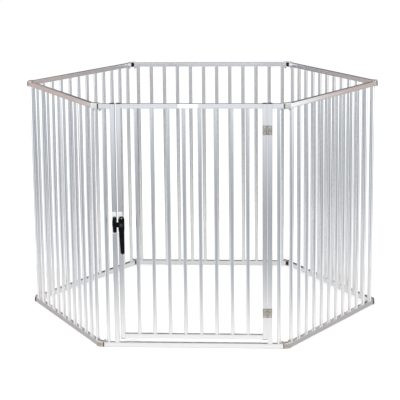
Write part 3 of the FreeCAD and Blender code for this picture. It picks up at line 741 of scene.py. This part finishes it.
def hinge_leaf(side, knuckles):
    """Make one hinge leaf in the front panel's frame, its middle at z = 0; side is 1 for the post."""
    sheet = LEAF
    height = HINGE_HEIGHT
    reach = 20 * MM
    gap = 3.15 * MM
    knuckle = height / 5
    start, end = HINGE_X + side * gap, HINGE_X + side * reach
    leaf = plate(((start + end) / 2, 0), abs(end - start), height, 2 * MM, FACE, FACE - sheet, 0.3 * MM)
    sink = turned([(1.3 * MM, -sheet), (1.3 * MM, sheet - 1.3 * MM), (2.6 * MM, sheet),
                   (3.1 * MM, 1.5 * sheet)], 24)
    x = HINGE_X + side * HINGE_SCREW_REACH
    leaf = cut(leaf, [(sink, facing_out(x, FACE, z)) for z in (-HINGE_SCREW_ROW / 2, HINGE_SCREW_ROW / 2)])
    parts = [(leaf, STAY)]
    for row in knuckles:
        foot = knuckle * row - height / 2 + 0.15 * MM
        top = foot + knuckle - 0.3 * MM
        barrel = turned([(1.55 * MM, foot), (2.55 * MM, foot), (2.75 * MM, foot + 0.2 * MM),
                         (2.75 * MM, top - 0.2 * MM), (2.55 * MM, top), (1.55 * MM, top)], 32, closed=True)
        parts.append((barrel, at(HINGE_X, HINGE_Y)))
        low = (min(HINGE_X + side * 1.2 * MM, start + side * MM), FACE - sheet, foot)
        high = (max(HINGE_X + side * 1.2 * MM, start + side * MM), FACE, top)
        parts.append((block(low, high, 0.15 * MM, 1), STAY))
    return joined(parts)


def hinges():
    """Dress the two butt hinges: leaves, pins and screws."""
    def at_both(mesh):
        return joined([(mesh, at(z=level)) for level in HINGE_LEVELS])
    piece("hinge_frame_leaves_rolled", at_both(hinge_leaf(1, (0, 2, 4))), FRONT, HINGE_MATERIAL,
          "hinge_steel", "front_panel", "hinge_frame_leaves")
    piece("hinge_door_leaves_rolled", at_both(hinge_leaf(-1, (1, 3))), FRONT, HINGE_MATERIAL, "hinge_steel",
          "front_door", "hinge_door_leaves")
    half = HINGE_HEIGHT / 2
    head = 0.8 * MM
    pin = turned([(0, -half - head), (1.6 * MM, -half - head), (2.5 * MM, -half - 0.5 * head),
                  (2.7 * MM, -half), (1.5 * MM, -half), (1.5 * MM, half), (2.7 * MM, half),
                  (2.5 * MM, half + 0.5 * head), (1.6 * MM, half + head), (0, half + head)], 32)
    pin.transform(at(HINGE_X, HINGE_Y))
    piece("hinge_pins_domed", at_both(pin), FRONT, SCREW_MATERIAL, "hinge_steel", "front_panel", "hinge_pins")
    small = screw(SCREW_SHANK, SCREW_HEAD)
    rows = ((1, "front_panel", "hinge_frame_screws"), (-1, "front_door", "hinge_door_screws"))
    for side, body, node in rows:
        x = HINGE_X + side * HINGE_SCREW_REACH
        places = [facing_out(x, FACE - LEAF, z) for z in (-HINGE_SCREW_ROW / 2, HINGE_SCREW_ROW / 2)]
        pair = joined([(small, place) for place in places])
        piece(f"{node}_crosshead", at_both(pair), FRONT, BRIGHT_MATERIAL, "screw_steel", body, node)


# ---------------------------------------------------------------- latch
def cast(parts, cell, passes, cutters=()):
    """Melt overlapping shapes into one cast body with softened corners."""
    body = shaped(joined([(mesh, STAY) for mesh in parts]),
                  ("REMESH", {"mode": "VOXEL", "voxel_size": cell}),
                  ("SMOOTH", {"factor": 0.5, "iterations": passes}))
    return cut(body, cutters) if cutters else body


def mounting_plates():
    """Dress the light plates under the keeper and the handle's base."""
    for node, body in (("keeper_mount_plate", "front_panel"), ("handle_mount_plate", "front_door")):
        low, high = front_box(node)
        middle = ((low.x + high.x) / 2, (low.z + high.z) / 2)
        mesh = plate(middle, high.x - low.x, high.z - low.z, 6.5 * MM, high.y, low.y, 0.6 * MM)
        piece(f"{node}_rounded", mesh, FRONT, LIGHT_PLATE_MATERIAL, "light_plate", body, node)


HOOK_FOOT = 539 * MM            # levels on the latch, above the floor
RAMP_TOP = 558 * MM
WALL_FOOT = 557.5 * MM
WALL_TOP = 566 * MM
LIP_TOP = 565 * MM
LOBE_LEVEL = 522 * MM
KEEPER_SCREW_LEVELS = (516.25 * MM, 574.85 * MM)
BASE_SCREW_LEVEL = 572 * MM


def keeper():
    """Dress the keeper: a rounded foot plate, a ramp and the hook that the lever's nose sits behind."""
    low, high = front_box("keeper")
    middle = (low.x + high.x) / 2
    width = high.x - low.x
    foot_face = high.y - 3 * MM
    foot = plate((middle, (low.z + high.z) / 2), width, high.z - low.z, 7.6 * MM, high.y, foot_face, 0.8 * MM)
    ramp_face = foot_face - 4.8 * MM
    ramp = block((low.x, ramp_face, HOOK_FOOT), (high.x, foot_face + MM, RAMP_TOP), 1.2 * MM)
    wall = block((low.x, low.y, WALL_FOOT), (high.x, foot_face + MM, WALL_TOP), 1.6 * MM)
    lip = block((low.x, low.y, HOOK_FOOT), (high.x, low.y + 3.7 * MM, LIP_TOP), 1.4 * MM)
    lobe = turned([(0, -MM), (7.4 * MM, -MM), (7.4 * MM, 2.2 * MM), (6.2 * MM, 3.6 * MM), (0, 4 * MM)])
    lobe.transform(facing_out(middle, foot_face, LOBE_LEVEL))
    sink = screw_sink(8 * MM)
    sinks = [(sink, facing_out(middle, foot_face - 0.4 * MM, z)) for z in KEEPER_SCREW_LEVELS[1:]]
    mesh = cast([foot, ramp, wall, lip, lobe], 0.6 * MM, 3, sinks)
    piece("keeper_cast", mesh, FRONT, LACQUER_MATERIAL, "black_lacquer", "front_panel", "keeper", crease=50)
    small = screw(SCREW_SHANK, SCREW_HEAD)
    places = [facing_out(middle, foot_face, z) for z in KEEPER_SCREW_LEVELS]
    piece("keeper_screws_crosshead", joined([(small, place) for place in places]), FRONT, SCREW_MATERIAL,
          "screw_steel", "front_panel", "keeper_screws")


def handle_base():
    """Dress the base of the turning handle and its two screws."""
    low, high = front_box("handle_base")
    middle = ((low.x + high.x) / 2, (low.z + high.z) / 2)
    body = plate(middle, high.x - low.x, high.z - low.z, 0.49 * (high.x - low.x), high.y, low.y, 3 * MM, 6)
    stile_low, stile_high = front_box("door_latch_stile")
    stile = (stile_low.x + stile_high.x) / 2
    sink = screw_sink(4 * MM)
    places = [facing_out(stile + offset, low.y, BASE_SCREW_LEVEL) for offset in (-5.5 * MM, 5.5 * MM)]
    piece("handle_base_cast", cut(body, [(sink, place) for place in places]), FRONT, LACQUER_MATERIAL,
          "black_lacquer", "front_door", "handle_base")
    small = screw(SCREW_SHANK, SCREW_HEAD)
    piece("handle_screws_crosshead", joined([(small, place) for place in places]), FRONT, BRIGHT_MATERIAL,
          "screw_steel", "front_door", "handle_screws")


def grip(right, top, foot, back, front):
    """Make the hanging grip: oval sections that narrow towards a round end."""
    rings = []
    steps = 22
    end = 9 * MM
    for index in range(steps + 1):
        level = top + (foot - top) * (index / steps) ** 0.8
        share = (top - level) / (top - foot)
        width = 24 * MM - 7 * MM * share
        depth = (back - front) * (1 - 0.12 * share)
        nearness = max(0, 1 - (level - foot) / end)
        close = math.sqrt(max(0, 1 - nearness ** 2))
        if index == steps:
            rings.append([(right - width / 2, (back + front) / 2, foot)])
            continue
        ring = []
        sides = 28
        for side in range(sides):
            angle = math.tau * side / sides
            flat = 0.75
            x = abs(math.cos(angle)) ** flat * math.copysign(1, math.cos(angle))
            y = abs(math.sin(angle)) ** flat * math.copysign(1, math.sin(angle))
            ring.append((right - width / 2 + x * close * width / 2,
                         (back + front) / 2 + y * close * depth / 2, level))
        rings.append(ring)
    return skin(rings)


def latch_lever():
    """Dress the turning handle: round boss, nose towards the post and the hanging grip, cast as one."""
    pivot = JOINT_PLACES["lever_pivot"]
    low, high = front_box("latch_lever")
    back, front = high.y, low.y
    depth = back - front
    boss = turned([(0, 0), (12.4 * MM, 0), (13 * MM, 0.8 * MM), (13 * MM, depth - 3 * MM),
                   (12.1 * MM, depth - MM), (10 * MM, depth), (0, depth)])
    boss.transform(facing_out(pivot.x, back, pivot.z))
    nose_parts = []
    steps = 5
    for index in range(steps + 1):
        share = index / steps
        x = pivot.x + (low.x - pivot.x) * share
        half = (11.5 - 4.5 * max(0, (share - 0.35) / 0.65)) * MM
        thick = 5.4 * MM
        nose_parts.append([(x, back - thick / 2 + y, pivot.z + z) for y, z in
                           rounded_rectangle(thick, 2 * half, 1.6 * MM, 3)])
    nose = skin(nose_parts)
    right = high.x
    hand = grip(right, pivot.z + 2 * MM, low.z, front + 10 * MM, front)
    bore = turned([(4.05 * MM, -MM), (4.05 * MM, depth + 2 * MM)], 32)
    mesh = cast([boss, nose, hand], 0.8 * MM, 4, [(bore, facing_out(pivot.x, back, pivot.z))])
    piece("latch_lever_cast", mesh, FRONT, LACQUER_MATERIAL, "black_lacquer", "latch_lever", "latch_lever",
          crease=50)


def spindle_and_cap():
    """Dress the round spindle and the dark polished cap screw on the pivot."""
    pivot = JOINT_PLACES["lever_pivot"]
    low, high = front_box("handle_spindle")
    length = high.y - low.y
    shaft = turned([(0, 0), (3.7 * MM, 0), (4 * MM, 0.3 * MM), (4 * MM, length - 0.3 * MM),
                    (3.7 * MM, length), (0, length)], 32)
    piece("handle_spindle_turned", shaft, FRONT @ facing_out(pivot.x, high.y, pivot.z), BRIGHT_MATERIAL,
          "bright_steel", "front_door", "handle_spindle")
    low, high = front_box("handle_cap_screw")
    rise = high.y - low.y
    socket = hexagon(2 * MM)
    dome = turned([(0, 0), (6.8 * MM, 0), (7 * MM, 0.2 * rise), (6.5 * MM, 0.6 * rise), (5 * MM, 0.9 * rise),
                   (3 * MM, rise), (socket, rise), (socket, 0.3 * rise), (0, 0.2 * rise)])
    piece("handle_cap_screw_domed", dome, FRONT @ facing_out(pivot.x, high.y, pivot.z), CAP_MATERIAL,
          "bright_steel", "front_door", "handle_cap_screw")


def blank_label():
    """Add the plain light plate on the middle of the door's top rail."""
    low, high = front_box("door_top_rail")
    middle = (0, (low.z + high.z) / 2)
    mesh = plate(middle, 82 * MM, 15.5 * MM, 2 * MM, FACE + 0.1 * MM, FACE - 0.5 * MM, 0.2 * MM)
    piece("door_blank_label", mesh, FRONT @ at(-12 * MM), LABEL_MATERIAL, "light_plate", "front_door")


rails()
uprights()
bar_rows()
plugs_and_caps()
corner_links()
hinges()
mounting_plates()
keeper()
handle_base()
latch_lever()
spindle_and_cap()
blank_label()


# ---------------------------------------------------------------- studio
def emission(name, strength):
    """Make a glowing material and return it with its emission node."""
    material, add, link = new_material(name)
    glow = add("ShaderNodeEmission", Strength=strength)
    output = add("ShaderNodeOutputMaterial")
    link(glow.outputs["Emission"], output.inputs["Surface"])
    return material, add, link, glow


def floor():
    """Lay the plain pale floor; metal reflects the round of light laid just under it instead."""
    shape = bmesh.new()
    bmesh.ops.create_grid(shape, x_segments=8, y_segments=8, size=30)
    ground = bpy.data.objects.new("Floor", to_mesh(shape, "Floor"))
    material, add, link = new_material("floor_white")
    shader = add("ShaderNodeBsdfPrincipled", Roughness=0.9)
    shader.inputs["Base Color"].default_value = (0.95, 0.95, 0.95, 1)
    shader.inputs["Specular IOR Level"].default_value = 0.0
    output = add("ShaderNodeOutputMaterial")
    link(shader.outputs["BSDF"], output.inputs["Surface"])
    ground.data.materials.append(material)
    bpy.context.scene.collection.objects.link(ground)
    ground.visible_glossy = False


WALL_RADIUS = 1.72
WALL_HEIGHT = 3.4
WALL_GAIN = 4.0
STRIP_COLOUR = (0.50, 0.475, 0.462)     # floor just outside the slanting front panels
INSIDE_COLOUR = (0.76, 0.75, 0.75)      # floor inside the pen and behind it


def only_reflected(thing):
    """Let a stage object show in reflections and nowhere else."""
    bpy.context.scene.collection.objects.link(thing)
    thing.visible_camera = False
    thing.visible_diffuse = False
    thing.visible_shadow = False
    thing.visible_transmission = False


def calculator(add, link):
    """Return a function that adds a maths node over sockets and numbers."""
    def maths(operation, *values):
        node = add("ShaderNodeMath", operation=operation)
        for socket, value in zip(node.inputs, values):
            if isinstance(value, (int, float)):
                socket.default_value = value
            else:
                link(value, socket)
        return node.outputs["Value"]
    return maths


def colour_ramp(add, link, share, stops):
    """Add a colour ramp over a value from 0 to 1."""
    ramp = add("ShaderNodeValToRGB")
    while len(ramp.color_ramp.elements) < len(stops):
        ramp.color_ramp.elements.new(0.5)
    for element, (position, colour) in zip(ramp.color_ramp.elements, stops):
        element.position = position
        element.color = (*colour, 1)
    link(share, ramp.inputs["Fac"])
    return ramp.outputs["Color"]


def reflected_floor():
    """Lay the round of light that the metal reflects: bright before the gate, dimmer inside and behind."""
    shape = bmesh.new()
    bmesh.ops.create_circle(shape, cap_ends=True, segments=96, radius=WALL_RADIUS)
    bmesh.ops.translate(shape, verts=shape.verts, vec=(0, 0, -MM))
    disc = bpy.data.objects.new("ReflectedFloor", to_mesh(shape, "ReflectedFloor"))
    material, add, link, glow = emission("floor_glow", 1.0)
    maths = calculator(add, link)
    place = add("ShaderNodeTexCoord")
    parts = add("ShaderNodeSeparateXYZ")
    link(place.outputs["Object"], parts.inputs["Vector"])
    beside = maths("MAXIMUM", maths("SUBTRACT", maths("ABSOLUTE", parts.outputs["X"]), BOLT_PLACE), 0.0)
    edge = maths("MULTIPLY_ADD", beside, math.sqrt(3), FRONT_Y)
    behind = maths("SUBTRACT", parts.outputs["Y"], edge)
    distance = add("ShaderNodeVectorMath", operation="LENGTH")
    link(place.outputs["Object"], distance.inputs[0])
    fade = colour_ramp(add, link, maths("DIVIDE", distance.outputs["Value"], WALL_RADIUS),
                       [(0.0, (1.0, 0.985, 0.97)), (0.56, (1.0, 0.985, 0.97)), (0.72, (0.92, 0.90, 0.885)),
                        (0.9, (0.76, 0.755, 0.75)), (1.0, (0.66, 0.66, 0.665))])
    at_side = maths("MULTIPLY", maths("MINIMUM", maths("DIVIDE", beside, 0.05), 1.0),
                    spread(add, link, behind, 0, 1, -0.30, -0.24))
    shade = fade
    for factor, colour in ((at_side, STRIP_COLOUR),
                           (spread(add, link, behind, 0, 1, 0.0, 0.14), INSIDE_COLOUR)):
        mix = add("ShaderNodeMix", data_type="RGBA")
        mix.inputs["B"].default_value = (*colour, 1)
        link(shade, mix.inputs["A"])
        link(factor, mix.inputs["Factor"])
        shade = mix.outputs["Result"]
    link(shade, glow.inputs["Color"])
    disc.data.materials.append(material)
    only_reflected(disc)


def reflected_wall():
    """Stand a round soft grey wall about the pen that only shows as reflections in the metal."""
    sides = 96
    circle = [(WALL_RADIUS * math.cos(math.tau * k / sides), WALL_RADIUS * math.sin(math.tau * k / sides))
              for k in range(sides)]
    shape = bmesh.new()
    low, high = ([shape.verts.new((x, y, level)) for x, y in circle] for level in (-MM, WALL_HEIGHT))
    for k in range(sides):
        after = (k + 1) % sides
        shape.faces.new((low[k], low[after], high[after], high[k]))
    wall = bpy.data.objects.new("ReflectedWall", to_mesh(shape, "ReflectedWall"))
    material, add, link, glow = emission("wall_glow", 1.0)
    maths = calculator(add, link)
    place = add("ShaderNodeTexCoord")
    parts = add("ShaderNodeSeparateXYZ")
    link(place.outputs["Object"], parts.inputs["Vector"])
    toward = maths("MULTIPLY", parts.outputs["Y"], -1.0)
    share = maths("DIVIDE", maths("ARCTAN2", maths("ABSOLUTE", parts.outputs["X"]), toward), math.pi)
    around = [(0.0, (0.222, 0.226, 0.236)), (0.08, (0.222, 0.226, 0.236)), (0.16, (0.16, 0.17, 0.186)),
              (0.26, (0.19, 0.20, 0.215)), (0.34, (0.44, 0.475, 0.50)), (0.47, (0.44, 0.475, 0.50)),
              (0.56, (0.155, 0.127, 0.118)), (0.76, (0.155, 0.127, 0.118)), (0.84, (0.048, 0.048, 0.050)),
              (1.0, (0.055, 0.055, 0.060))]
    upward = [(0.0, 0.73), (0.03, 0.59), (0.11, 0.5), (0.165, 0.63), (0.245, 0.95), (0.32, 0.95), (0.36, 0.9)]
    rise = colour_ramp(add, link, maths("DIVIDE", parts.outputs["Z"], WALL_HEIGHT),
                       [(level, (value, value, value)) for level, value in upward])
    link(colour_ramp(add, link, share, around), glow.inputs["Color"])
    link(maths("MULTIPLY", rise, WALL_GAIN), glow.inputs["Strength"])
    wall.data.materials.append(material)
    only_reflected(wall)


def world_and_lights():
    """Light the scene with a white sky and two large soft lamps."""
    world = bpy.data.worlds.new("Studio")
    world.use_nodes = True
    sky = world.node_tree.nodes["Background"]
    sky.inputs["Color"].default_value = (1.0, 1.0, 1.0, 1)
    sky.inputs["Strength"].default_value = 1.05
    bpy.context.scene.world = world
    lamps = (("KeyLamp", (-2.4, -4.2, 4.2), 2.6, 150), ("FillLamp", (3.2, -2.6, 3.6), 3.0, 70))
    for name, place, size, power in lamps:
        lamp = bpy.data.lights.new(name, "AREA")
        lamp.shape = "DISK"
        lamp.size = size
        lamp.energy = power
        thing = bpy.data.objects.new(name, lamp)
        thing.location = place
        thing.rotation_euler = (Vector((0, 0, 0.5)) - Vector(place)).to_track_quat("-Z", "Y").to_euler()
        bpy.context.scene.collection.objects.link(thing)


CAMERA_PLACE = Vector((0.433, -6.694, 1.969))      # from the middle of the ring, at floor level
CAMERA_YAW, CAMERA_PITCH, CAMERA_ROLL = (math.radians(turn) for turn in (-3.801, 12.382, -0.596))
CAMERA_LENS = 132.04


def camera():
    """Stand the camera where the pen was seen from."""
    ahead = Vector((math.sin(CAMERA_YAW) * math.cos(CAMERA_PITCH),
                    math.cos(CAMERA_YAW) * math.cos(CAMERA_PITCH), -math.sin(CAMERA_PITCH)))
    level = ahead.cross(Vector((0, 0, 1))).normalized()
    above = level.cross(ahead)
    right = math.cos(CAMERA_ROLL) * level + math.sin(CAMERA_ROLL) * above
    up = -math.sin(CAMERA_ROLL) * level + math.cos(CAMERA_ROLL) * above
    lens = bpy.data.cameras.new("Camera")
    lens.lens = CAMERA_LENS
    lens.sensor_width = 36
    lens.clip_end = 100
    thing = bpy.data.objects.new("Camera", lens)
    place = Matrix((right, up, -ahead)).transposed().to_4x4()
    place.translation = RING_MIDDLE + CAMERA_PLACE
    thing.matrix_world = place
    bpy.context.scene.collection.objects.link(thing)
    bpy.context.scene.camera = thing


floor()
reflected_floor()
reflected_wall()
world_and_lights()
camera()
bpy.context.scene.view_settings.view_transform = "Standard"
